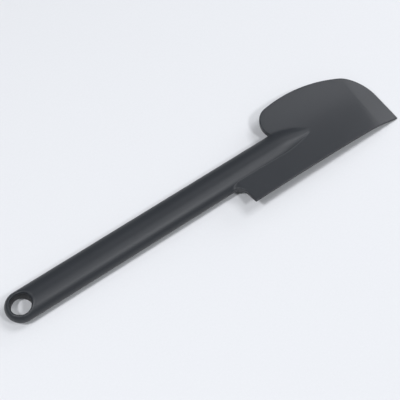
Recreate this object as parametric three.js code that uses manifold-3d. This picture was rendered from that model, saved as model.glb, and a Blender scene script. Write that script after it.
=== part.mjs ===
// A heat-resistant spatula: one seamless silicone body with a dished blade, moulded over a stiff core
// and a perforated steel leaf that backs the blade.
// X runs from the hang hole to the tip, Y towards the curved side, Z up from the table.
import * as THREE from "three";
import { mergeVertices } from "three/addons/utils/BufferGeometryUtils.js";
import Module from "manifold-3d";

const wasm = await Module();
wasm.setup();

// Handle, in millimetres.
const OVERALL_LENGTH = 250;
const HANDLE_WIDTH = 18.2;
const NECK_WIDTH = 17.8;
const HANDLE_FLAT = 2.4;
const HANDLE_THICKNESS = 12;
const HANG_HOLE = 11.6;
const HANG_HOLE_ROUNDING = 0.8;
const NOSE_LENGTH = 21.5;
const NOSE_FULLNESS = 1.25;

// Blade, seen from above. Edges are set from the handle's axis and from the tip.
const STRAIGHT_EDGE = 103.5;
const STRAIGHT_REACH = 22.7;
const TIP_INSET = 0.8;
const CURVED_SIDE = 71.6;
const CURVED_REACH = 24.6;
const BELLY_FROM_TIP = 49.5;
const BELLY_RADIUS = 91;
const HEEL_CORNER = 10;
const TIP_CORNER = 22;
const HEEL_FILLET = 5;
const ROOT_OVERLAP = 0.3;
const STRAIGHT_HEEL_LEAN = THREE.MathUtils.degToRad(1);
const CURVED_HEEL_LEAN = THREE.MathUtils.degToRad(14);
const TIP_LEAN = THREE.MathUtils.degToRad(3.2);

// Blade, seen from its edge.
const SPINE_AT_HEEL = 4.4;
const SPINE_AT_CREASE = 3.2;
const EDGE_THICKNESS = 1.3;
const SPINE_FULLNESS = 3;
const ROOT_RISE = 1.9;
const STRAIGHT_RISE = 0.6;
const CURVED_RISE = 1.2;
const DISH_ROUNDING = 0.95;
const LIP_LENGTH = 17.1;
const CREASE_LEAN = THREE.MathUtils.degToRad(10);
const CREASE_ROUNDING = 2.4;
const DROOP_AT_CREASE = THREE.MathUtils.degToRad(6);

// Core and leaf inside the silicone.
const MOULD_GAP = 0.3;
const SKIN = 2.4;
const EYE_WALL = 1.2;
const EYE_HEIGHT = 4;
const CORE_NOSE = 9;
const CORE_WEB = 3;
const CORE_FLANGE = 1.8;
const POCKET_LENGTH = 16;
const POCKET_RIB = 2.4;
const WEB_HOLE = 3;
const LEAF_THICKNESS = 0.5;
const LEAF_MARGIN = 13;
const LEAF_RISE = 0.3;
const LEAF_SLOPE = THREE.MathUtils.degToRad(1.35);
const LEAF_CORNER = 4;
const TANG_WIDTH = 6.4;
const TANG_LENGTH = 34;
const PEG = 2.6;
const PEG_LENGTH = 2.6;
const PEG_SPACING = 14;
const KEY_HOLE = 5;
const KEY_PITCH = 11;

// Fineness of the round stretches.
const SECTION_STEPS = 12;
const END_STEPS = 8;
const NOSE_STEPS = 8;
const ARC_STEPS = 12;
const HOLE_STEPS = 40;
const CREASE_STATIONS = [-2, -1, -0.5, 0, 0.5, 1, 2];
const WELD = 1e-4;

// Places that follow from the sizes above.
const axisHeight = HANDLE_THICKNESS / 2;
const holeX = HANDLE_WIDTH / 2;
const straightHeelX = OVERALL_LENGTH - STRAIGHT_EDGE;
const curvedHeelX = OVERALL_LENGTH - CURVED_SIDE;
const bellyCentre = new THREE.Vector2(OVERALL_LENGTH - BELLY_FROM_TIP, CURVED_REACH - BELLY_RADIUS);
const coreWidth = NECK_WIDTH - 2 * SKIN;
const coreThickness = HANDLE_THICKNESS - 2 * SKIN;
const coreEndX = curvedHeelX + CORE_NOSE;
const tangX = curvedHeelX - TANG_LENGTH;
const leafRootX = coreEndX + SKIN;

// The blade's spine leaves the handle above its axis and bends down. The lip then bends to the table.
const rootHeight = axisHeight + ROOT_RISE;
const lipDrop = rootHeight - EDGE_THICKNESS / 2 - droop(OVERALL_LENGTH);
const lipSlope = lipDrop / roundedPast(LIP_LENGTH);

// How far the blade's spine has sunk at x: it leaves the handle level and bends more and more.
function droop(x) {
  const bent = STRAIGHT_EDGE - LIP_LENGTH;
  const along = x - straightHeelX;
  const bending = THREE.MathUtils.clamp(along, 0, bent) ** 3 / (3 * bent ** 2);
  return Math.tan(DROOP_AT_CREASE) * (bending + Math.max(along - bent, 0));
}

// Zero before the crease and the distance past it, with a rounded turn between.
function roundedPast(distance) {
  return (distance + Math.hypot(distance, CREASE_ROUNDING)) / 2;
}

function creaseX(y) {
  return OVERALL_LENGTH - LIP_LENGTH + Math.tan(CREASE_LEAN) * (y + STRAIGHT_REACH);
}

// How far y lies from the spine, as a share of the blade's reach on that side.
function acrossBlade(y) {
  return Math.min(1, y < 0 ? -y / STRAIGHT_REACH : y / CURVED_REACH);
}

// How far the dished top face stands above its spine: a rounded valley with straight flanks.
function dish(y) {
  const rise = y < 0 ? STRAIGHT_RISE : CURVED_RISE;
  const climb = (share) => Math.hypot(share, DISH_ROUNDING) - DISH_ROUNDING;
  return (rise * climb(acrossBlade(y))) / climb(1);
}

// Full along the spine, thin at both long edges and at the tip.
function bladeThickness(x, y) {
  const crease = creaseX(0);
  const alongBlade = THREE.MathUtils.clamp((x - straightHeelX) / (crease - straightHeelX), 0, 1);
  const alongLip = THREE.MathUtils.clamp((x - crease) / (OVERALL_LENGTH - crease), 0, 1);
  const atCrease = THREE.MathUtils.lerp(SPINE_AT_HEEL, SPINE_AT_CREASE, alongBlade);
  const spine = THREE.MathUtils.lerp(atCrease, EDGE_THICKNESS, alongLip);
  return THREE.MathUtils.lerp(spine, EDGE_THICKNESS, acrossBlade(y) ** SPINE_FULLNESS);
}

// The top face: its dish fades out along the lip, whose end lies straight on the table.
function bladeTop(x, y) {
  const past = roundedPast(x - creaseX(y));
  const fade = Math.max(0, 1 - past / roundedPast(LIP_LENGTH));
  return rootHeight - droop(x) - lipSlope * past + bladeThickness(x, 0) / 2 + dish(y) * fade;
}

// A closed geometry as a solid that can be joined and cut.
function solid(geometry) {
  const bare = new THREE.BufferGeometry();
  const loose = geometry.index ? geometry.toNonIndexed() : geometry;
  bare.setAttribute("position", loose.getAttribute("position"));
  const merged = mergeVertices(bare, WELD);
  const vertProperties = merged.getAttribute("position").array;
  const triVerts = new Uint32Array(merged.index.array);
  return new wasm.Manifold(new wasm.Mesh({ numProp: 3, vertProperties, triVerts }));
}

// A finished solid as a named mesh with flat faces.
function piece(name, shape, material) {
  const { vertProperties, triVerts } = shape.getMesh();
  const geometry = new THREE.BufferGeometry();
  geometry.setAttribute("position", new THREE.BufferAttribute(vertProperties, 3));
  geometry.setIndex(new THREE.BufferAttribute(triVerts, 1));
  const faceted = geometry.toNonIndexed();
  faceted.computeVertexNormals();
  const mesh = new THREE.Mesh(faceted, material);
  mesh.name = name;
  return mesh;
}

// Skins a row of outlines with equal numbers of points; place puts an outline's point at its station.
function loft(sections, place) {
  const count = sections[0].outline.length;
  const last = (sections.length - 1) * count;
  const points = sections.flatMap(({ outline, at }) => outline.map((p) => place(p.x, p.y, at)));
  const index = [];
  for (let a = 0; a < last; a += 1) {
    const b = (a + 1) % count === 0 ? a + 1 - count : a + 1;
    index.push(a, b, b + count, a, b + count, a + count);
  }
  for (const [a, b, c] of THREE.ShapeUtils.triangulateShape(sections[0].outline, [])) {
    index.push(a, c, b);
  }
  for (const [a, b, c] of THREE.ShapeUtils.triangulateShape(sections.at(-1).outline, [])) {
    index.push(last + a, last + b, last + c);
  }
  const geometry = new THREE.BufferGeometry().setFromPoints(points);
  geometry.setIndex(index);
  return geometry;
}

// The handle's section: an oval with a narrow flat above and below, in its own width and thickness.
function handleSection(width, thickness) {
  const flat = HANDLE_FLAT / 2;
  const outline = [];
  for (const side of [1, -1]) {
    for (let step = 0; step <= SECTION_STEPS; step += 1) {
      const angle = Math.PI * (step / SECTION_STEPS - side / 2);
      const y = side * flat + (HANDLE_WIDTH / 2 - flat) * Math.cos(angle);
      const z = (HANDLE_THICKNESS / 2) * Math.sin(angle);
      outline.push(new THREE.Vector2((y * width) / HANDLE_WIDTH, (z * thickness) / HANDLE_THICKNESS));
    }
  }
  return outline;
}

// Width, thickness and middle height along the nose, from the full handle to a point in the blade.
function noseAt(share) {
  const left = 1 - share ** NOSE_FULLNESS;
  const x = curvedHeelX + NOSE_LENGTH * share;
  const spine = bladeThickness(x, 0);
  return {
    x,
    width: THREE.MathUtils.lerp(EDGE_THICKNESS, NECK_WIDTH, left),
    thickness: THREE.MathUtils.lerp(spine - EDGE_THICKNESS, HANDLE_THICKNESS, left),
    height: THREE.MathUtils.lerp(bladeTop(x, 0) - spine / 2, axisHeight, left),
  };
}

// The whole handle: a rounded end, a straight grip and the nose that runs out on the blade.
function handleBody() {
  const stations = [];
  for (let step = 1; step <= END_STEPS; step += 1) {
    const turn = (Math.PI / 2) * (step / END_STEPS);
    const x = holeX * (1 - Math.cos(turn));
    const depth = Math.max(0, 1 - x / axisHeight);
    const thickness = HANDLE_THICKNESS * Math.sqrt(1 - depth ** 2);
    stations.push({ x, width: HANDLE_WIDTH * Math.sin(turn), thickness, height: axisHeight });
  }
  stations[0].x = 0;
  for (let step = 0; step <= NOSE_STEPS; step += 1) {
    stations.push(noseAt(step / NOSE_STEPS));
  }
  const sections = stations.map((s) => ({ outline: handleSection(s.width, s.thickness), at: s }));
  return solid(loft(sections, (y, z, s) => new THREE.Vector3(s.x, y, s.height + z)));
}

// The blade's outline from above, closed through the inside of the handle.
function bladeOutline() {
  const side = -(NECK_WIDTH / 2 - ROOT_OVERLAP);
  const filletY = side - HEEL_FILLET;
  const heelAtFillet = straightHeelX - Math.tan(STRAIGHT_HEEL_LEAN) * (filletY + STRAIGHT_REACH);
  const filletX = heelAtFillet - HEEL_FILLET / Math.cos(STRAIGHT_HEEL_LEAN);

  const heelCentre = new THREE.Vector2(curvedHeelX + HEEL_CORNER, 0);
  const heelOffset = heelCentre.x - bellyCentre.x;
  heelCentre.y = bellyCentre.y + Math.sqrt((BELLY_RADIUS - HEEL_CORNER) ** 2 - heelOffset ** 2);

  // The tip's round corner touches the end edge and the belly.
  const tip = new THREE.Vector2(OVERALL_LENGTH, TIP_INSET - STRAIGHT_REACH);
  const endway = new THREE.Vector2(-Math.sin(TIP_LEAN), Math.cos(TIP_LEAN));
  const inward = new THREE.Vector2(-Math.cos(TIP_LEAN), -Math.sin(TIP_LEAN));
  const start = tip.clone().addScaledVector(inward, TIP_CORNER).sub(bellyCentre);
  const half = start.dot(endway);
  const rise = Math.sqrt(half ** 2 - start.lengthSq() + (BELLY_RADIUS - TIP_CORNER) ** 2) - half;
  const tipCentre = start.clone().addScaledVector(endway, rise).add(bellyCentre);
  const tipTurn = tipCentre.clone().sub(bellyCentre).angle();
  const heelTurn = heelCentre.clone().sub(bellyCentre).angle();

  const shape = new THREE.Shape();
  shape.moveTo(filletX, 0);
  shape.lineTo(filletX, side);
  shape.absarc(filletX, filletY, HEEL_FILLET, Math.PI / 2, STRAIGHT_HEEL_LEAN, true);
  shape.lineTo(straightHeelX, -STRAIGHT_REACH);
  shape.lineTo(tip.x, tip.y);
  shape.absarc(tipCentre.x, tipCentre.y, TIP_CORNER, TIP_LEAN, tipTurn, false);
  shape.absarc(bellyCentre.x, bellyCentre.y, BELLY_RADIUS, tipTurn, heelTurn, false);
  shape.absarc(heelCentre.x, heelCentre.y, HEEL_CORNER, heelTurn, Math.PI + CURVED_HEEL_LEAN, false);
  const rootShift = Math.tan(CURVED_HEEL_LEAN) * heelCentre.y - HEEL_CORNER / Math.cos(CURVED_HEEL_LEAN);
  shape.lineTo(heelCentre.x + rootShift, 0);
  shape.closePath();
  return shape;
}

// The blade: a slab with a dished top, a slope and a bent lip, trimmed to the outline.
function bladeBody() {
  const spare = EDGE_THICKNESS;
  const sections = [];
  const reaches = [CURVED_REACH + spare];
  for (let step = ARC_STEPS; step >= -ARC_STEPS; step -= 1) {
    reaches.push((step / ARC_STEPS) * (step > 0 ? CURVED_REACH : STRAIGHT_REACH));
  }
  reaches.push(-STRAIGHT_REACH - spare);
  for (const y of reaches) {
    const stations = [straightHeelX - STRAIGHT_REACH, curvedHeelX];
    for (const turn of CREASE_STATIONS) {
      stations.push(creaseX(Math.max(-STRAIGHT_REACH, y)) + turn * CREASE_ROUNDING);
    }
    stations.push(OVERALL_LENGTH, OVERALL_LENGTH + spare);
    const below = stations.map((x) => new THREE.Vector2(x, bladeTop(x, y) - bladeThickness(x, y)));
    const above = stations.map((x) => new THREE.Vector2(x, bladeTop(x, y)));
    sections.push({ outline: [...below, ...above.reverse()], at: y });
  }
  const slab = solid(loft(sections, (x, z, y) => new THREE.Vector3(x, y, z)));
  const trim = new THREE.ExtrudeGeometry(bladeOutline(), {
    depth: 4 * HANDLE_THICKNESS,
    bevelEnabled: false,
    curveSegments: ARC_STEPS,
  });
  trim.translate(0, 0, -2 * HANDLE_THICKNESS);
  return slab.intersect(solid(trim));
}

// An upright round bar, used for holes, plugs and pegs.
function post(x, y, diameter, height) {
  const geometry = new THREE.CylinderGeometry(diameter / 2, diameter / 2, height, HOLE_STEPS);
  geometry.rotateX(Math.PI / 2);
  geometry.translate(x, y, axisHeight);
  return geometry;
}

// The hang hole's cutter: a bore that opens out in a quarter round at both faces.
function hangHole() {
  const bore = HANG_HOLE / 2;
  const mouth = bore + HANG_HOLE_ROUNDING;
  const clear = 2 * HANDLE_THICKNESS;
  const profile = [new THREE.Vector2(0, -clear), new THREE.Vector2(mouth, -clear)];
  for (const end of [-1, 1]) {
    for (let step = 0; step <= ARC_STEPS / 2; step += 1) {
      const share = end < 0 ? step / (ARC_STEPS / 2) : 1 - step / (ARC_STEPS / 2);
      const turn = (share * Math.PI) / 2;
      const radius = mouth - HANG_HOLE_ROUNDING * Math.sin(turn);
      const inset = HANG_HOLE_ROUNDING * (1 - Math.cos(turn));
      profile.push(new THREE.Vector2(radius, end * (axisHeight - inset)));
    }
  }
  profile.push(new THREE.Vector2(mouth, clear), new THREE.Vector2(0, clear));
  const geometry = new THREE.LatheGeometry(profile, HOLE_STEPS);
  geometry.rotateX(Math.PI / 2);
  geometry.translate(holeX, 0, axisHeight);
  return solid(geometry);
}

// Takes a piece that lies level at the handle's axis to the leaf's place and slope.
function tilt(geometry) {
  geometry.translate(-straightHeelX, 0, -axisHeight);
  geometry.rotateY(LEAF_SLOPE);
  return geometry.translate(straightHeelX, 0, rootHeight + LEAF_RISE);
}

// The core without its leaf slot: an I-beam with cross ribs and a hang eye, grown on every face.
function coreBlank(grow) {
  const width = coreWidth + 2 * grow;
  const thickness = coreThickness + 2 * grow;
  const end = noseAt(CORE_NOSE / NOSE_LENGTH);
  const stations = [
    { x: holeX, width, thickness, height: axisHeight },
    { x: curvedHeelX, width, thickness, height: axisHeight },
    {
      x: coreEndX + grow,
      width: end.width - 2 * SKIN + 2 * grow,
      thickness: end.thickness - 2 * SKIN + 2 * grow,
      height: end.height,
    },
  ];
  const sections = stations.map((s) => ({ outline: handleSection(s.width, s.thickness), at: s }));
  let core = solid(loft(sections, (y, z, s) => new THREE.Vector3(s.x, y, s.height + z)));
  const eye = HANG_HOLE + 2 * EYE_WALL + 2 * grow;
  core = core.add(solid(post(holeX, 0, eye, EYE_HEIGHT + 2 * grow)));

  const firstX = holeX + HANG_HOLE / 2 + EYE_WALL + POCKET_RIB;
  const room = tangX - MOULD_GAP - firstX;
  const pockets = Math.floor(room / (POCKET_LENGTH + POCKET_RIB));
  const depth = (coreWidth - CORE_WEB) / 2;
  for (let pocket = 0; pocket < pockets; pocket += 1) {
    const x = firstX + pocket * (POCKET_LENGTH + POCKET_RIB) + POCKET_LENGTH / 2;
    for (const side of [1, -1]) {
      const box = new THREE.BoxGeometry(
        POCKET_LENGTH - 2 * grow,
        2 * depth - 2 * grow,
        coreThickness - 2 * CORE_FLANGE - 2 * grow,
      );
      box.translate(x, side * (CORE_WEB / 2 + depth + grow), axisHeight);
      core = core.subtract(solid(box));
    }
    const hole = new THREE.CylinderGeometry(WEB_HOLE / 2 - grow, WEB_HOLE / 2 - grow, coreWidth);
    hole.translate(x, 0, axisHeight);
    core = core.subtract(solid(hole));
  }
  return core;
}

const pegPlaces = [-PEG_SPACING / 2, PEG_SPACING / 2].map((along) => tangX + TANG_LENGTH / 2 + along);

// The core: the blank, bored at the eye and split for the leaf, with two pegs across the split.
function handleCore() {
  const bore = solid(post(holeX, 0, HANG_HOLE, HANDLE_THICKNESS));
  const slotLength = coreEndX - tangX + 2 * MOULD_GAP + SKIN;
  const slotHeight = LEAF_THICKNESS + 2 * MOULD_GAP;
  const slot = new THREE.BoxGeometry(slotLength, TANG_WIDTH + 2 * MOULD_GAP, slotHeight);
  slot.translate(tangX - MOULD_GAP + slotLength / 2, 0, axisHeight);
  let core = coreBlank(0).subtract(bore).subtract(solid(tilt(slot)));
  for (const x of pegPlaces) {
    core = core.add(solid(tilt(post(x, 0, PEG, PEG_LENGTH))));
  }
  return core;
}

// A shape through corner points, each corner rounded as far as its edges allow.
function roundedShape(corners, radius) {
  const shape = new THREE.Shape();
  corners.forEach((corner, i) => {
    const before = corners.at(i - 1);
    const after = corners[(i + 1) % corners.length];
    const cutIn = Math.min(radius, corner.distanceTo(before) / 2);
    const cutOut = Math.min(radius, corner.distanceTo(after) / 2);
    const from = corner.clone().lerp(before, cutIn / corner.distanceTo(before));
    const to = corner.clone().lerp(after, cutOut / corner.distanceTo(after));
    if (i === 0) {
      shape.moveTo(from.x, from.y);
    } else {
      shape.lineTo(from.x, from.y);
    }
    shape.quadraticCurveTo(corner.x, corner.y, to.x, to.y);
  });
  shape.closePath();
  return shape;
}

// How far the leaf may reach towards the curved side at x, in from the blade's belly.
function leafBelly(x, grow) {
  const radius = BELLY_RADIUS - LEAF_MARGIN + grow;
  return bellyCentre.y + Math.sqrt(radius ** 2 - (x - bellyCentre.x) ** 2);
}

// The leaf: a tang in the core and a paddle in the blade, pierced so that the silicone keys through it.
function bladeLeaf(grow) {
  const root = leafRootX - grow;
  const tang = TANG_WIDTH / 2 + grow;
  const straight = -(STRAIGHT_REACH - LEAF_MARGIN) - grow;
  const setBack = 2 * CREASE_ROUNDING - grow;
  const straightEnd = creaseX(straight) - setBack;
  const bellyEnd = creaseX(leafBelly(creaseX(CURVED_REACH / 2), grow)) - setBack - LEAF_CORNER;
  const middle = (root + bellyEnd) / 2;
  const corners = [
    new THREE.Vector2(tangX - grow, -tang),
    new THREE.Vector2(root, -tang),
    new THREE.Vector2(root, straight),
    new THREE.Vector2(straightEnd, straight),
    new THREE.Vector2(bellyEnd, leafBelly(bellyEnd, grow)),
    new THREE.Vector2(middle, leafBelly(middle, grow)),
    new THREE.Vector2(root, leafBelly(root, grow)),
    new THREE.Vector2(root, tang),
    new THREE.Vector2(tangX - grow, tang),
  ];
  const shape = roundedShape(corners, LEAF_CORNER);
  const round = (x, y, diameter) => {
    const hole = new THREE.Path();
    hole.absarc(x, y, diameter / 2 - grow, 0, 2 * Math.PI, true);
    shape.holes.push(hole);
  };
  for (const x of pegPlaces) {
    round(x, 0, PEG + 2 * MOULD_GAP);
  }
  for (let x = leafRootX + KEY_HOLE; x + KEY_HOLE < creaseX(-STRAIGHT_REACH) - setBack; x += KEY_PITCH) {
    const first = -(STRAIGHT_REACH - LEAF_MARGIN) + KEY_HOLE;
    for (let y = first; y + KEY_HOLE < leafBelly(x, 0); y += KEY_PITCH) {
      round(x, y, KEY_HOLE);
    }
  }
  const depth = LEAF_THICKNESS + 2 * grow;
  const leaf = new THREE.ExtrudeGeometry(shape, { depth, bevelEnabled: false, curveSegments: ARC_STEPS });
  leaf.translate(0, 0, axisHeight - depth / 2);
  return solid(tilt(leaf));
}

// The silicone: handle and blade as one body, hollowed for the core and the leaf, and bored.
function siliconeBody() {
  const cavity = coreBlank(MOULD_GAP).add(bladeLeaf(MOULD_GAP));
  return handleBody().add(bladeBody()).subtract(cavity).subtract(hangHole());
}

const silicone = new THREE.MeshStandardMaterial({ color: "#46494d", roughness: 0.55, metalness: 0 });
const filledNylon = new THREE.MeshStandardMaterial({ color: "#1d1e20", roughness: 0.6, metalness: 0 });
const springSteel = new THREE.MeshStandardMaterial({ color: "#b4b7ba", roughness: 0.3, metalness: 1 });

const spatula = new THREE.Group();
spatula.add(piece("silicone_body", siliconeBody(), silicone));
spatula.add(piece("handle_core", handleCore(), filledNylon));
spatula.add(piece("blade_leaf", bladeLeaf(0), springSteel));

// The part's frame: its origin lies under the middle of the object's box.
for (const mesh of spatula.children) {
  mesh.position.set(-OVERALL_LENGTH / 2, (STRAIGHT_REACH - CURVED_REACH) / 2, 0);
}

export default spatula;
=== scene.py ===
# Looks of a heat-resistant spatula: a steel leaf and a nylon core inside one seamless silicone body.
# Sizes are in millimetres, from the hang-hole end along the handle, and go to metres in the part's frame.
import math

import bmesh
import bpy
import numpy as np
from mathutils import Matrix, Vector


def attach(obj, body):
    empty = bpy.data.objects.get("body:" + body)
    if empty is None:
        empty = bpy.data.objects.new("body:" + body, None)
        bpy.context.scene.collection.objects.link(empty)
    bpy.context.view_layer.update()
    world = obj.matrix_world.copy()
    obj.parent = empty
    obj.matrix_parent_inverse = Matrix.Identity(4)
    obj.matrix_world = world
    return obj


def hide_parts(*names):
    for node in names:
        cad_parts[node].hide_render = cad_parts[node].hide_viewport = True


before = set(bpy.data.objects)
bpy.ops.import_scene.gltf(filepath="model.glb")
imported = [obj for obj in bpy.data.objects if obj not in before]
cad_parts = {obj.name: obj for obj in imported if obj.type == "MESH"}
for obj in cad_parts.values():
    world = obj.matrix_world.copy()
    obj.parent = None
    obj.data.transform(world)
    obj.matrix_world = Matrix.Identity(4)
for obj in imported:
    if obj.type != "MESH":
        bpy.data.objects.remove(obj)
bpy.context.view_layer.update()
bpy.context.scene.view_settings.view_transform = "Standard"


# Blade leaf: a half-millimetre strip of spring stainless steel, rolled, punched with round holes and
# deburred. It backs the blade and sits on the core's two pegs, wholly inside the silicone.
ROLLING_LINE = 0.4
LINE_STRETCH = 0.03


def linear(hex_colour):
    """An sRGB hex value as linear red, green, blue and full alpha."""
    shares = [int(hex_colour[i : i + 2], 16) / 255 for i in (1, 3, 5)]
    return (*[s / 12.92 if s <= 0.04045 else ((s + 0.055) / 1.055) ** 2.4 for s in shares], 1.0)


def per_metre(millimetres):
    """The texture scale at which a pattern on coordinates in metres repeats at that real size."""
    return 1000 / millimetres


def add(tree, kind, inputs=None, **settings):
    """Adds a node to a material. An input is a plain value, or the output of a node to link it to."""
    made = tree.nodes.new(kind)
    for name, value in settings.items():
        setattr(made, name, value)
    for name, value in (inputs or {}).items():
        if isinstance(value, bpy.types.NodeSocket):
            tree.links.new(value, made.inputs[name])
        else:
            made.inputs[name].default_value = value
    return made


def bare_tree(owner):
    """The emptied node tree of a material or of the world."""
    owner.use_nodes = True
    owner.node_tree.nodes.clear()
    return owner.node_tree


# A colour mix has its two colours and its result at these places among its sockets.
FIRST_COLOUR = 6
SECOND_COLOUR = 7
MIXED_COLOUR = 2

# Rolled stainless: a mid-grey mirror blurred along the rolling direction. Its fine long lines are drawn
# coarser than the real ones so that they show.
steel = bpy.data.materials.new("rolled_stainless_strip")
tree = bare_tree(steel)
place = add(tree, "ShaderNodeTexCoord")
drawn = add(
    tree,
    "ShaderNodeMapping",
    {"Vector": place.outputs["Object"], "Scale": (LINE_STRETCH, 1.0, 1.0)},
)
lines = add(
    tree,
    "ShaderNodeTexNoise",
    {"Vector": drawn.outputs["Vector"], "Scale": per_metre(ROLLING_LINE), "Detail": 3.0},
)
tint = add(
    tree,
    "ShaderNodeMix",
    {
        "Factor": lines.outputs["Fac"],
        FIRST_COLOUR: linear("#a9acaf"),
        SECOND_COLOUR: linear("#bfc1c3"),
    },
    data_type="RGBA",
)
blur = add(
    tree,
    "ShaderNodeMapRange",
    {"Value": lines.outputs["Fac"], "To Min": 0.24, "To Max": 0.38},
)
ridge = add(
    tree,
    "ShaderNodeBump",
    {"Height": lines.outputs["Fac"], "Strength": 0.3, "Distance": 0.00001},
)
surface = add(
    tree,
    "ShaderNodeBsdfPrincipled",
    {
        "Base Color": tint.outputs[MIXED_COLOUR],
        "Metallic": 1.0,
        "Roughness": blur.outputs["Result"],
        "Normal": ridge.outputs["Normal"],
    },
)
add(tree, "ShaderNodeOutputMaterial", {"Surface": surface.outputs["BSDF"]})

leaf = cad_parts["blade_leaf"]
leaf.data.materials.clear()
leaf.data.materials.append(steel)


# Handle core: a ribbed beam of black glass-filled nylon, injection moulded before the silicone goes
# round it. Only its eye is bare, inside the hang hole, where a pin of the mould held it.
FIBRE_FLECK = 0.5
MOULD_CLOUD = 6.0

# Glass-filled nylon: near black and matte, a little mottled where fibres lie under the surface, with
# flecks drawn coarser than the real ones so that they show.
nylon = bpy.data.materials.new("moulded_glass_filled_nylon")
tree = bare_tree(nylon)
place = add(tree, "ShaderNodeTexCoord")
flecks = add(
    tree,
    "ShaderNodeTexNoise",
    {"Vector": place.outputs["Object"], "Scale": per_metre(FIBRE_FLECK), "Detail": 4.0},
)
clouds = add(
    tree,
    "ShaderNodeTexNoise",
    {"Vector": place.outputs["Object"], "Scale": per_metre(MOULD_CLOUD), "Detail": 2.0},
)
tint = add(
    tree,
    "ShaderNodeMix",
    {
        "Factor": flecks.outputs["Fac"],
        FIRST_COLOUR: linear("#18191a"),
        SECOND_COLOUR: linear("#222326"),
    },
    data_type="RGBA",
)
matt = add(
    tree,
    "ShaderNodeMapRange",
    {"Value": clouds.outputs["Fac"], "To Min": 0.5, "To Max": 0.7},
)
pores = add(
    tree,
    "ShaderNodeBump",
    {"Height": flecks.outputs["Fac"], "Strength": 0.35, "Distance": 0.00003},
)
surface = add(
    tree,
    "ShaderNodeBsdfPrincipled",
    {
        "Base Color": tint.outputs[MIXED_COLOUR],
        "Roughness": matt.outputs["Result"],
        "IOR": 1.53,
        "Normal": pores.outputs["Normal"],
    },
)
add(tree, "ShaderNodeOutputMaterial", {"Surface": surface.outputs["BSDF"]})

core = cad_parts["handle_core"]
core.data.materials.clear()
core.data.materials.append(nylon)


# Silicone body: handle and blade in one seamless shot of silicone rubber, cured in a blasted steel
# mould round the core and the leaf. The blade is dished, with a bent lip, and the handle's nose runs
# out on it. Lengths are in millimetres.
LENGTH = 250.0
HANDLE_WIDTH = 18.2
NECK_WIDTH = 17.8
HANDLE_FLAT = 2.4
HANDLE_THICKNESS = 12.0
BORE = 11.9
MOUTH_ROUNDING = 2.2
NOSE_LENGTH = 26.5
NOSE_FULLNESS = 1.6
NOSE_SKEW = 3.2
NOSE_THINNING = 1.35

STRAIGHT_EDGE = 103.5
STRAIGHT_REACH = 22.7
TIP_INSET = 0.8
CURVED_SIDE = 72.5
CURVED_REACH = 24.3
BELLY_FROM_TIP = 49.5
BELLY_RADIUS = 91.0
HEEL_CORNER = 10.0
TIP_CORNER = 22.0
HEEL_FILLET = 7.5
ROOT_OVERLAP = 0.3
STRAIGHT_HEEL_LEAN = math.radians(1)
CURVED_HEEL_LEAN = math.radians(21)
TIP_LEAN = math.radians(2.2)

SPINE_AT_HEEL = 4.4
SPINE_AT_CREASE = 3.2
EDGE_THICKNESS = 1.3
EDGE_ROUNDING = 0.5
SPINE_FULLNESS = 3
ROOT_RISE = 1.9
STRAIGHT_RISE = 1.0
CURVED_RISE = 1.8
DISH_ROUNDING = 0.5
LIP_LENGTH = 17.1
CREASE_LEAN = math.radians(10)
CREASE_ROUNDING = 2.4
DROOP_AT_CREASE = math.radians(6)
HEEL_SINK = 3.6

# The handle meets the blade in a tight corner on the straight side, and softly on the curved side and
# on the heel's web. Each change from one to the other starts at a place and takes a few millimetres.
NEAR_BLEND = 0.12
FAR_BLEND = 1.2
FAR_BLEND_FROM = -2.0
HEEL_BLEND = 1.4
HEEL_BLEND_BACK = 2.0
BLEND_CHANGE = 5.0

AXIS_HEIGHT = HANDLE_THICKNESS / 2
HOLE_X = HANDLE_WIDTH / 2
STRAIGHT_HEEL_X = LENGTH - STRAIGHT_EDGE
CURVED_HEEL_X = LENGTH - CURVED_SIDE
ROOT_HEIGHT = AXIS_HEIGHT + ROOT_RISE

# The handle's axis lies this far to the straight side of the middle of the part's box.
AXIS_SHIFT = 0.95
TO_FRAME = np.array([-LENGTH / 2, -AXIS_SHIFT, 0.0])

# Sizes of the faces: of the whole skin, and the bands beside tight corners that get smaller ones.
VOXEL = 0.52
CORNER_BAND = 0.6
RIM_BAND = 0.8
BAND_MARGIN = 1.0
ARC_STEP = math.radians(1.5)
ROUND_SEGMENTS = 64
NOSE_STATIONS = 9
STRIP = 3.0
OUT_OF_REACH = 1000.0
TINY = 1e-6


def rounded_past(distance):
    """Zero before the crease and the distance past it, with a rounded turn between."""
    return (distance + np.hypot(distance, CREASE_ROUNDING)) / 2


def crease_x(y):
    """Where the crease of the lip crosses the blade at y."""
    return LENGTH - LIP_LENGTH + math.tan(CREASE_LEAN) * (y + STRAIGHT_REACH)


def across_blade(y):
    """How far y lies from the spine, as a share of the blade's reach on that side."""
    return np.minimum(1, np.where(y < 0, -y / STRAIGHT_REACH, y / CURVED_REACH))


def dish(y):
    """How far the top face stands above its spine: a rounded valley with straight flanks."""
    rise = np.where(y < 0, STRAIGHT_RISE, CURVED_RISE)
    full = math.hypot(1, DISH_ROUNDING) - DISH_ROUNDING
    return rise * (np.hypot(across_blade(y), DISH_ROUNDING) - DISH_ROUNDING) / full


def heel_sink(x):
    """How far the top of the heel's web has run down on the handle's flank at x."""
    return HEEL_SINK * np.clip((STRAIGHT_HEEL_X - x) / HEEL_FILLET, 0, 1) ** 2


def blade_thickness(x, y):
    """Thickness of the blade, from its full spine to its thin edges and its tip."""
    crease = crease_x(0)
    spine = np.interp(
        x,
        [STRAIGHT_HEEL_X, crease, LENGTH],
        [SPINE_AT_HEEL, SPINE_AT_CREASE, EDGE_THICKNESS],
    )
    return spine + (EDGE_THICKNESS - spine) * across_blade(y) ** SPINE_FULLNESS - heel_sink(x)


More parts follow.
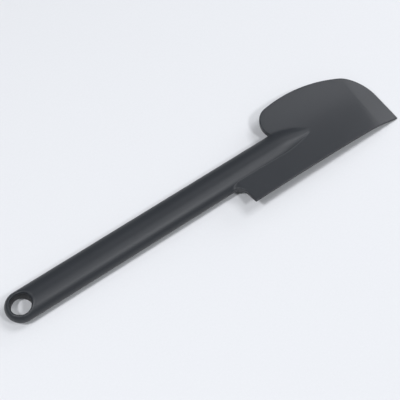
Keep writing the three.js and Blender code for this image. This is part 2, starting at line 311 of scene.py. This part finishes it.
def droop(x):
    """How far the blade's spine has sunk at x: it leaves the handle level and bends more and more."""
    bent = STRAIGHT_EDGE - LIP_LENGTH
    along = x - STRAIGHT_HEEL_X
    bending = np.clip(along, 0, bent) ** 3 / (3 * bent**2)
    return math.tan(DROOP_AT_CREASE) * (bending + np.maximum(along - bent, 0))


def blade_top(x, y):
    """Height of the blade's top face above the table."""
    lip_drop = ROOT_HEIGHT - EDGE_THICKNESS / 2 - droop(LENGTH)
    lip_slope = lip_drop / rounded_past(LIP_LENGTH)
    past = rounded_past(x - crease_x(y))
    fade = np.maximum(0, 1 - past / rounded_past(LIP_LENGTH))
    sloped = ROOT_HEIGHT - heel_sink(x) / 2 - droop(x) - lip_slope * past
    return sloped + blade_thickness(x, np.zeros_like(x)) / 2 + dish(y) * fade


def arc(centre, radius, start, end):
    """Points along an arc, from one angle to the other."""
    turns = np.linspace(start, end, 2 + int(abs(end - start) / ARC_STEP))
    return [(centre[0] + radius * math.cos(t), centre[1] + radius * math.sin(t)) for t in turns]


def blade_outline():
    """The blade's outline from above, closed through the inside of the handle."""
    side = -(NECK_WIDTH / 2 - ROOT_OVERLAP)
    fillet_y = side - HEEL_FILLET
    heel_at_fillet = STRAIGHT_HEEL_X - math.tan(STRAIGHT_HEEL_LEAN) * (fillet_y + STRAIGHT_REACH)
    fillet_x = heel_at_fillet - HEEL_FILLET / math.cos(STRAIGHT_HEEL_LEAN)
    belly = Vector((LENGTH - BELLY_FROM_TIP, CURVED_REACH - BELLY_RADIUS))
    heel_x = CURVED_HEEL_X + HEEL_CORNER
    heel_y = belly.y + math.sqrt((BELLY_RADIUS - HEEL_CORNER) ** 2 - (heel_x - belly.x) ** 2)
    heel = Vector((heel_x, heel_y))

    tip = Vector((LENGTH, TIP_INSET - STRAIGHT_REACH))
    endway = Vector((-math.sin(TIP_LEAN), math.cos(TIP_LEAN)))
    inward = Vector((-math.cos(TIP_LEAN), -math.sin(TIP_LEAN)))
    start = tip + inward * TIP_CORNER - belly
    half = start.dot(endway)
    rise = math.sqrt(half**2 - start.length_squared + (BELLY_RADIUS - TIP_CORNER) ** 2) - half
    corner = start + endway * rise + belly
    tip_turn = math.atan2(corner.y - belly.y, corner.x - belly.x)
    heel_turn = math.atan2(heel.y - belly.y, heel.x - belly.x)

    root_shift = math.tan(CURVED_HEEL_LEAN) * heel.y - HEEL_CORNER / math.cos(CURVED_HEEL_LEAN)
    return [
        (fillet_x, 0.0),
        *arc((fillet_x, fillet_y), HEEL_FILLET, math.pi / 2, STRAIGHT_HEEL_LEAN),
        (STRAIGHT_HEEL_X, -STRAIGHT_REACH),
        tuple(tip),
        *arc(corner, TIP_CORNER, TIP_LEAN, tip_turn)[:-1],
        *arc(belly, BELLY_RADIUS, tip_turn, heel_turn)[:-1],
        *arc(heel, HEEL_CORNER, heel_turn, math.pi + CURVED_HEEL_LEAN),
        (heel.x + root_shift, 0.0),
    ]


OUTLINE = blade_outline()


def outline_distance(x, y):
    """Distance from the blade's outline seen from above, negative inside it."""
    nearest = np.full(x.shape, np.inf)
    inside = np.zeros(x.shape, bool)
    for (ax, ay), (bx, by) in zip(OUTLINE, OUTLINE[1:] + OUTLINE[:1]):
        dx, dy = bx - ax, by - ay
        share = np.clip(((x - ax) * dx + (y - ay) * dy) / (dx * dx + dy * dy), 0, 1)
        nearest = np.minimum(nearest, np.hypot(x - ax - share * dx, y - ay - share * dy))
        if ay != by:
            inside ^= ((ay > y) != (by > y)) & (x < (bx - ax) * (y - ay) / (by - ay) + ax)
    return np.where(inside, -nearest, nearest)


def handle_section(x):
    """Width, thickness, middle height and lean of the handle at x. Its nose ends inside the blade."""
    left = 1 - np.clip((x - CURVED_HEEL_X) / NOSE_LENGTH, 0, 1) ** NOSE_FULLNESS
    middle = np.zeros_like(x)
    spine = blade_thickness(x, middle)
    grip = np.interp(x, [HOLE_X, CURVED_HEEL_X], [HANDLE_WIDTH, NECK_WIDTH])
    width = EDGE_THICKNESS + (grip - EDGE_THICKNESS) * left
    sunk = left**NOSE_THINNING
    thickness = spine - EDGE_THICKNESS + (HANDLE_THICKNESS - spine + EDGE_THICKNESS) * sunk
    buried = blade_top(x, middle) - spine / 2
    height = buried + (AXIS_HEIGHT - buried) * sunk
    return width, thickness, height, NOSE_SKEW * (1 - left)


def handle_distance(x, y, z):
    """Near the skin, the distance from the oval handle, its spun end and its nose."""
    width, thickness, height, lean = handle_section(x)
    flat = HANDLE_FLAT / 2 * width / HANDLE_WIDTH
    half = width / 2 - flat
    from_axis = np.hypot(np.minimum(x - HOLE_X, 0), y + lean)
    across = np.maximum(from_axis - flat, 0) / half
    up = (z - height) / (thickness / 2)
    reach = np.hypot(across, up)
    slope = np.hypot(across / half, up / (thickness / 2))
    return np.maximum((reach - 1) * reach / np.maximum(slope, TINY), x - CURVED_HEEL_X - NOSE_LENGTH)


def blade_distance(x, y, z):
    """Near the skin, the distance from the blade, whose edges are rounded."""
    thickness = blade_thickness(x, y)
    above = np.abs(z - blade_top(x, y) + thickness / 2) - thickness / 2 + EDGE_ROUNDING
    beyond = outline_distance(x, y) + EDGE_ROUNDING
    outside = np.hypot(np.maximum(above, 0), np.maximum(beyond, 0))
    return outside + np.minimum(np.maximum(above, beyond), 0) - EDGE_ROUNDING


def soft_least(a, b, width):
    """The lesser of two distances, with a rounded change from one to the other."""
    share = np.maximum(width - np.abs(a - b), 0) / width
    return np.minimum(a, b) - share * share * width / 4


def skin_distance(points):
    """Distance of points from the moulded skin, negative in the silicone."""
    x, y, z = points.T
    handle = handle_distance(x, y, z)
    blade = np.full(x.shape, OUT_OF_REACH)
    near = x > STRAIGHT_HEEL_X - STRAIGHT_REACH
    blade[near] = blade_distance(x[near], y[near], z[near])
    far = np.clip((y - FAR_BLEND_FROM) / BLEND_CHANGE, 0, 1)
    heel = np.clip((STRAIGHT_HEEL_X - HEEL_BLEND_BACK - x) / BLEND_CHANGE, 0, 1)
    blend = NEAR_BLEND + (FAR_BLEND - NEAR_BLEND) * far
    body = soft_least(handle, blade, blend + (HEEL_BLEND - blend) * heel)
    bore = BORE / 2 - np.hypot(x - HOLE_X, y)
    return -soft_least(-body, -bore, MOUTH_ROUNDING)


def seat_on_skin(points):
    """Moves points that lie near the moulded skin on to it, square to it."""
    step = 0.01
    least_slope = 0.05
    passes = 4
    for _ in range(passes):
        here = skin_distance(points)
        slopes = [(skin_distance(points + step * way) - here) / step for way in np.eye(3)]
        slope = np.stack(slopes, axis=1)
        shift = here / np.maximum((slope**2).sum(1), least_slope)
        points = points - slope * np.clip(shift, -VOXEL, VOXEL)[:, None]
    return points


def seated_points(mesh):
    """The points of a mesh, moved on to the moulded skin."""
    points = np.zeros(3 * len(mesh.vertices))
    mesh.vertices.foreach_get("co", points)
    return seat_on_skin(points.reshape(-1, 3))


# The handle's blank: an oval ring drawn through its stations, from the round end to the nose's point.
blank = bmesh.new()
ring = bmesh.ops.create_circle(blank, segments=ROUND_SEGMENTS, radius=1.0)["verts"]
bmesh.ops.rotate(blank, verts=ring, matrix=Matrix(((0, 0, 1), (1, 0, 0), (0, 1, 0))))
stations = []
for turn in np.radians([12, 24, 36, 48, 60, 72, 84, 90]):
    x = HOLE_X * (1 - math.cos(turn))
    thin = max(0, (HOLE_X - x - HANDLE_FLAT / 2) / (HOLE_X - HANDLE_FLAT / 2))
    stations.append((x, HOLE_X * math.sin(turn), AXIS_HEIGHT * math.sqrt(1 - thin**2), AXIS_HEIGHT))
for x in CURVED_HEEL_X + NOSE_LENGTH * np.linspace(0, 1, NOSE_STATIONS):
    width, thickness, height = handle_section(x)[:3]
    stations.append((x, width / 2, thickness / 2, height))
was = Matrix.Identity(4)
edges = list(blank.edges)
bmesh.ops.edgeloop_fill(blank, edges=edges)
for number, (x, half, thin, height) in enumerate(stations):
    if number:
        grown = bmesh.ops.extrude_edge_only(blank, edges=edges)["geom"]
        ring = [part for part in grown if isinstance(part, bmesh.types.BMVert)]
        edges = [
            part
            for part in grown
            if isinstance(part, bmesh.types.BMEdge) and all(v in ring for v in part.verts)
        ]
    now = Matrix.Translation((x, 0, height)) @ Matrix.Diagonal((1, half, thin, 1))
    bmesh.ops.transform(blank, verts=ring, matrix=now @ was.inverted())
    was = now
bmesh.ops.edgeloop_fill(blank, edges=edges)
bmesh.ops.recalc_face_normals(blank, faces=blank.faces)
handle_mesh = bpy.data.meshes.new("silicone_body")
blank.to_mesh(handle_mesh)
blank.free()

# The blade's blank: its outline as a slab from -1 to 1, cut in strips both ways, then given its
# thickness, dished, sloped and bent.
blank = bmesh.new()
flat_face = blank.faces.new([blank.verts.new((x, y, -1.0)) for x, y in OUTLINE])
top = bmesh.ops.extrude_face_region(blank, geom=[flat_face])["geom"]
bmesh.ops.translate(blank, verts=[p for p in top if isinstance(p, bmesh.types.BMVert)], vec=(0, 0, 2))
cuts = [((x, 0, 0), (1, 0, 0)) for x in np.arange(STRAIGHT_HEEL_X, LENGTH, STRIP)]
cuts += [((0, y, 0), (0, 1, 0)) for y in np.arange(STRIP / 2 - STRAIGHT_REACH, CURVED_REACH, STRIP)]
for through, square_to in cuts:
    whole = [*blank.verts, *blank.edges, *blank.faces]
    bmesh.ops.bisect_plane(blank, geom=whole, plane_co=through, plane_no=square_to)
for vert in blank.verts:
    x, y = np.float64(vert.co.x), np.float64(vert.co.y)
    middle = blade_top(x, y) - blade_thickness(x, y) / 2
    vert.co.z = middle + vert.co.z * blade_thickness(x, y) / 2
bmesh.ops.triangulate(blank, faces=blank.faces)
bmesh.ops.recalc_face_normals(blank, faces=blank.faces)
blade_mesh = bpy.data.meshes.new("blade_blank")
blank.to_mesh(blade_mesh)
blank.free()

# The pin that forms the hang hole.
blank = bmesh.new()
bmesh.ops.create_cone(
    blank,
    cap_ends=True,
    segments=ROUND_SEGMENTS,
    radius1=BORE / 2,
    radius2=BORE / 2,
    depth=3 * HANDLE_THICKNESS,
    matrix=Matrix.Translation((HOLE_X, 0, AXIS_HEIGHT)),
)
pin_mesh = bpy.data.meshes.new("hang_hole_pin")
blank.to_mesh(pin_mesh)
blank.free()

# Both blanks are joined, bored and given an even skin of small faces, which is then seated on the
# moulded form: oval handle, dished blade, soft blend of the nose and round edges.
body = bpy.data.objects.new("silicone_body_visual", handle_mesh)
blade_blank = bpy.data.objects.new("blade_blank", blade_mesh)
hole_pin = bpy.data.objects.new("hang_hole_pin", pin_mesh)
for made in (body, blade_blank, hole_pin):
    bpy.context.scene.collection.objects.link(made)
for tool, operation in ((blade_blank, "UNION"), (hole_pin, "DIFFERENCE")):
    joined = body.modifiers.new(operation.lower(), "BOOLEAN")
    joined.object = tool
    joined.operation = operation
    joined.solver = "EXACT"
skin = body.modifiers.new("skin", "REMESH")
skin.mode = "VOXEL"
skin.voxel_size = VOXEL
graph = bpy.context.evaluated_depsgraph_get()
formed = bpy.data.meshes.new_from_object(body.evaluated_get(graph))
body.modifiers.clear()
body.data = formed
body.data.name = "silicone_body_visual"
for spare in (blade_blank, hole_pin):
    bpy.data.objects.remove(spare)
for spare in (handle_mesh, blade_mesh, pin_mesh):
    bpy.data.meshes.remove(spare)

# The corner along the nose and the blade's rim are tighter than those faces, so they get smaller ones
# before the last seating.
points = seated_points(formed)
formed.vertices.foreach_set("co", points.ravel())
fine = bmesh.new()
fine.from_mesh(formed)
x, y, z = points.T
on_blade = x > STRAIGHT_HEEL_X - HEEL_FILLET - BAND_MARGIN
above_handle = np.full(x.shape, np.inf)
above_handle[on_blade] = handle_distance(x[on_blade], y[on_blade], z[on_blade])
above_handle[on_blade] -= blade_distance(x[on_blade], y[on_blade], z[on_blade])
corner = (np.abs(above_handle) < CORNER_BAND) & (x < CURVED_HEEL_X + NOSE_LENGTH + BAND_MARGIN)
rim = on_blade & ~corner & (above_handle > 0)
rim[rim] = outline_distance(x[rim], y[rim]) > -RIM_BAND
corner_edges = [edge for edge in fine.edges if all(corner[vert.index] for vert in edge.verts)]
rim_edges = [edge for edge in fine.edges if all(rim[vert.index] for vert in edge.verts)]
bmesh.ops.subdivide_edges(fine, edges=corner_edges, cuts=3, use_grid_fill=True)
bmesh.ops.subdivide_edges(fine, edges=rim_edges, cuts=1, use_grid_fill=True)
bmesh.ops.triangulate(fine, faces=[face for face in fine.faces if len(face.verts) > 4])
fine.to_mesh(formed)
fine.free()
points = seated_points(formed)
points[:, 2] = np.maximum(points[:, 2], 0)
formed.vertices.foreach_set("co", ((points + TO_FRAME) / 1000).ravel())
formed.polygons.foreach_set("use_smooth", [True] * len(formed.polygons))
formed.update()

# Silicone rubber from a blasted mould: a dark neutral grey with a wide soft shine, a fine even grain
# that is drawn coarser than the real one so that it shows, and faint clouding from handling.
BLAST_GRAIN = 0.5
HANDLING_CLOUD = 22.0
silicone = bpy.data.materials.new("moulded_satin_silicone")
tree = bare_tree(silicone)
place = add(tree, "ShaderNodeTexCoord")
grain = add(
    tree,
    "ShaderNodeTexNoise",
    {"Vector": place.outputs["Object"], "Scale": per_metre(BLAST_GRAIN), "Detail": 3.0},
)
clouds = add(
    tree,
    "ShaderNodeTexNoise",
    {"Vector": place.outputs["Object"], "Scale": per_metre(HANDLING_CLOUD), "Detail": 4.0},
)
tint = add(
    tree,
    "ShaderNodeMix",
    {
        "Factor": clouds.outputs["Fac"],
        FIRST_COLOUR: linear("#25282c"),
        SECOND_COLOUR: linear("#292c30"),
    },
    data_type="RGBA",
)
satin = add(
    tree,
    "ShaderNodeMapRange",
    {"Value": clouds.outputs["Fac"], "To Min": 0.43, "To Max": 0.49},
)
blast = add(
    tree,
    "ShaderNodeBump",
    {"Height": grain.outputs["Fac"], "Strength": 0.25, "Distance": 0.00004},
)
surface = add(
    tree,
    "ShaderNodeBsdfPrincipled",
    {
        "Base Color": tint.outputs[MIXED_COLOUR],
        "Roughness": satin.outputs["Result"],
        "IOR": 1.5,
        "Normal": blast.outputs["Normal"],
    },
)
add(tree, "ShaderNodeOutputMaterial", {"Surface": surface.outputs["BSDF"]})
formed.materials.clear()
formed.materials.append(silicone)
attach(body, "root")
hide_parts("silicone_body")


# Table cloth: plain bleached cotton, woven fine and pulled flat over the table that the spatula lies
# on. It isn't part of the object. Its side and where it fades are in metres.
CLOTH_SIDE = 4.0
CLOTH_SLUB = 1.2
FADE_FROM = 0.5
FADE_TO = 1.1
BACKDROP = linear("#e6eaf0")
blank = bmesh.new()
bmesh.ops.create_grid(blank, x_segments=1, y_segments=1, size=CLOTH_SIDE / 2)
cloth_mesh = bpy.data.meshes.new("table_cloth")
blank.to_mesh(cloth_mesh)
blank.free()
cloth = bpy.data.objects.new("table_cloth", cloth_mesh)
bpy.context.scene.collection.objects.link(cloth)

# Bleached cotton: very pale, cool white and fully matte, with hardly any slub in the thread.
cotton = bpy.data.materials.new("bleached_cotton")
tree = bare_tree(cotton)
place = add(tree, "ShaderNodeTexCoord")
slub = add(
    tree,
    "ShaderNodeTexNoise",
    {"Vector": place.outputs["Object"], "Scale": per_metre(CLOTH_SLUB), "Detail": 2.0},
)
tint = add(
    tree,
    "ShaderNodeMix",
    {
        "Factor": slub.outputs["Fac"],
        FIRST_COLOUR: linear("#e0e1e2"),
        SECOND_COLOUR: linear("#e4e5e6"),
    },
    data_type="RGBA",
)
surface = add(
    tree,
    "ShaderNodeBsdfPrincipled",
    {"Base Color": tint.outputs[MIXED_COLOUR], "Roughness": 0.95, "Specular IOR Level": 0.1},
)

# Far from the object, where the lamps hardly reach, the camera sees the cloth as pale as the backdrop.
span = add(tree, "ShaderNodeVectorMath", {0: place.outputs["Object"]}, operation="LENGTH")
faded = add(
    tree,
    "ShaderNodeMapRange",
    {"Value": span.outputs["Value"], "From Min": FADE_FROM, "From Max": FADE_TO},
)
path = add(tree, "ShaderNodeLightPath")
shown = add(
    tree,
    "ShaderNodeMath",
    {0: faded.outputs["Result"], 1: path.outputs["Is Camera Ray"]},
    operation="MULTIPLY",
)
pale = add(tree, "ShaderNodeEmission", {"Color": BACKDROP, "Strength": 1.0})
floor = add(
    tree,
    "ShaderNodeMixShader",
    {0: shown.outputs["Value"], 1: surface.outputs["BSDF"], 2: pale.outputs["Emission"]},
)
add(tree, "ShaderNodeOutputMaterial", {"Surface": floor.outputs["Shader"]})
cloth_mesh.materials.append(cotton)


# Lamps: two small soft boxes in front, high on the left and on the right, a large one high behind on the
# right, and a pale panel low behind on the right, which lights the bent lip. Places are to the camera's
# right, away from it and up from the table, in metres.
VIEW_TURN = math.radians(35.103)
RIGHT = Vector((math.cos(VIEW_TURN), -math.sin(VIEW_TURN), 0))
AWAY = Vector((math.sin(VIEW_TURN), math.cos(VIEW_TURN), 0))
UP = Vector((0, 0, 1))


def soft_box(name, way, side, watts):
    """A square lamp at that place, which looks at the middle of the table."""
    lamp = bpy.data.lights.new(name, "AREA")
    lamp.shape = "SQUARE"
    lamp.size = side
    lamp.energy = watts
    lamp.color = linear("#f9fafe")[:3]
    place = bpy.data.objects.new(name, lamp)
    place.location = RIGHT * way[0] + AWAY * way[1] + UP * way[2]
    place.rotation_euler = place.location.to_track_quat("Z", "Y").to_euler()
    place.visible_camera = False
    bpy.context.scene.collection.objects.link(place)


soft_box("left_box", (-0.430, -0.320, 0.960), 0.14, 5.4)
soft_box("right_box", (0.797, -0.525, 1.407), 0.24, 8.3)
soft_box("far_box", (1.053, 0.718, 2.034), 0.9, 18.6)
soft_box("far_panel", (0.593, 0.584, 0.287), 0.5, 2.2)

# The room: a weak even fill, which the camera sees as a pale backdrop.
world = bpy.data.worlds.new("pale_room")
tree = bare_tree(world)
fill = add(tree, "ShaderNodeBackground", {"Color": BACKDROP, "Strength": 0.25})
backdrop = add(tree, "ShaderNodeBackground", {"Color": BACKDROP, "Strength": 1.0})
path = add(tree, "ShaderNodeLightPath")
seen = add(
    tree,
    "ShaderNodeMixShader",
    {0: path.outputs["Is Camera Ray"], 1: fill.outputs[0], 2: backdrop.outputs[0]},
)
add(tree, "ShaderNodeOutputWorld", {"Surface": seen.outputs[0]})
bpy.context.scene.world = world


# Camera: a long lens that looks down at the table from the straight edge's side, with the handle to the
# lower left. It looks at a point near the handle's middle.
VIEW_HEIGHT = math.radians(62)
VIEW_DISTANCE = 0.628747
LOOK_AT = Vector((np.array([124.905, 0.545, 0.0]) + TO_FRAME) / 1000)
camera_data = bpy.data.cameras.new("camera")
camera_data.lens = 100.753
camera_data.sensor_width = 36
camera_data.clip_start = 0.05
camera = bpy.data.objects.new("camera", camera_data)
back = -AWAY * math.cos(VIEW_HEIGHT) + UP * math.sin(VIEW_HEIGHT)
above = AWAY * math.sin(VIEW_HEIGHT) + UP * math.cos(VIEW_HEIGHT)
turned = Matrix((RIGHT, above, back)).transposed().to_4x4()
camera.matrix_world = Matrix.Translation(LOOK_AT + back * VIEW_DISTANCE) @ turned
bpy.context.scene.collection.objects.link(camera)
bpy.context.scene.camera = camera
